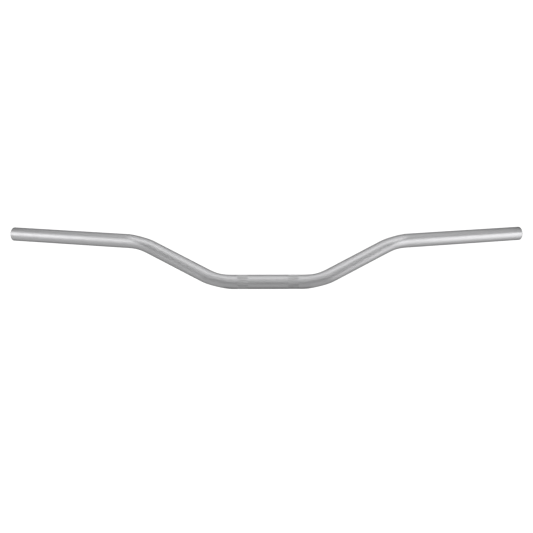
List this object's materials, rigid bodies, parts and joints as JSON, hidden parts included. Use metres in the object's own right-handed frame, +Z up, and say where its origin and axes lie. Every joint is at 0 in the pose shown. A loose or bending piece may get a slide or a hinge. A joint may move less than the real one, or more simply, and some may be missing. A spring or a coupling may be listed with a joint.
{
  "type": "handlebar",
  "caption": "Bare motorcycle handlebar: one satin aluminium tube bent up and back on both sides, open at both ends, with knurled clamp bands either side of the middle.",
  "frame": {"origin": "middle of the clamp section's axis, halfway between the two knurled bands", "axes": "+X along the clamp section, towards the rider's left; +Y back towards the rider, the way the grips sweep; +Z up"},
  "size_m": [0.849, 0.1542, 0.0784],
  "materials": {
    "anodised_aluminium": "satin, brushed lengthwise and clear anodised"
  },
  "bodies": {
    "root": {"handlebar_tube": "anodised_aluminium"}
  },
  "joints": []
}
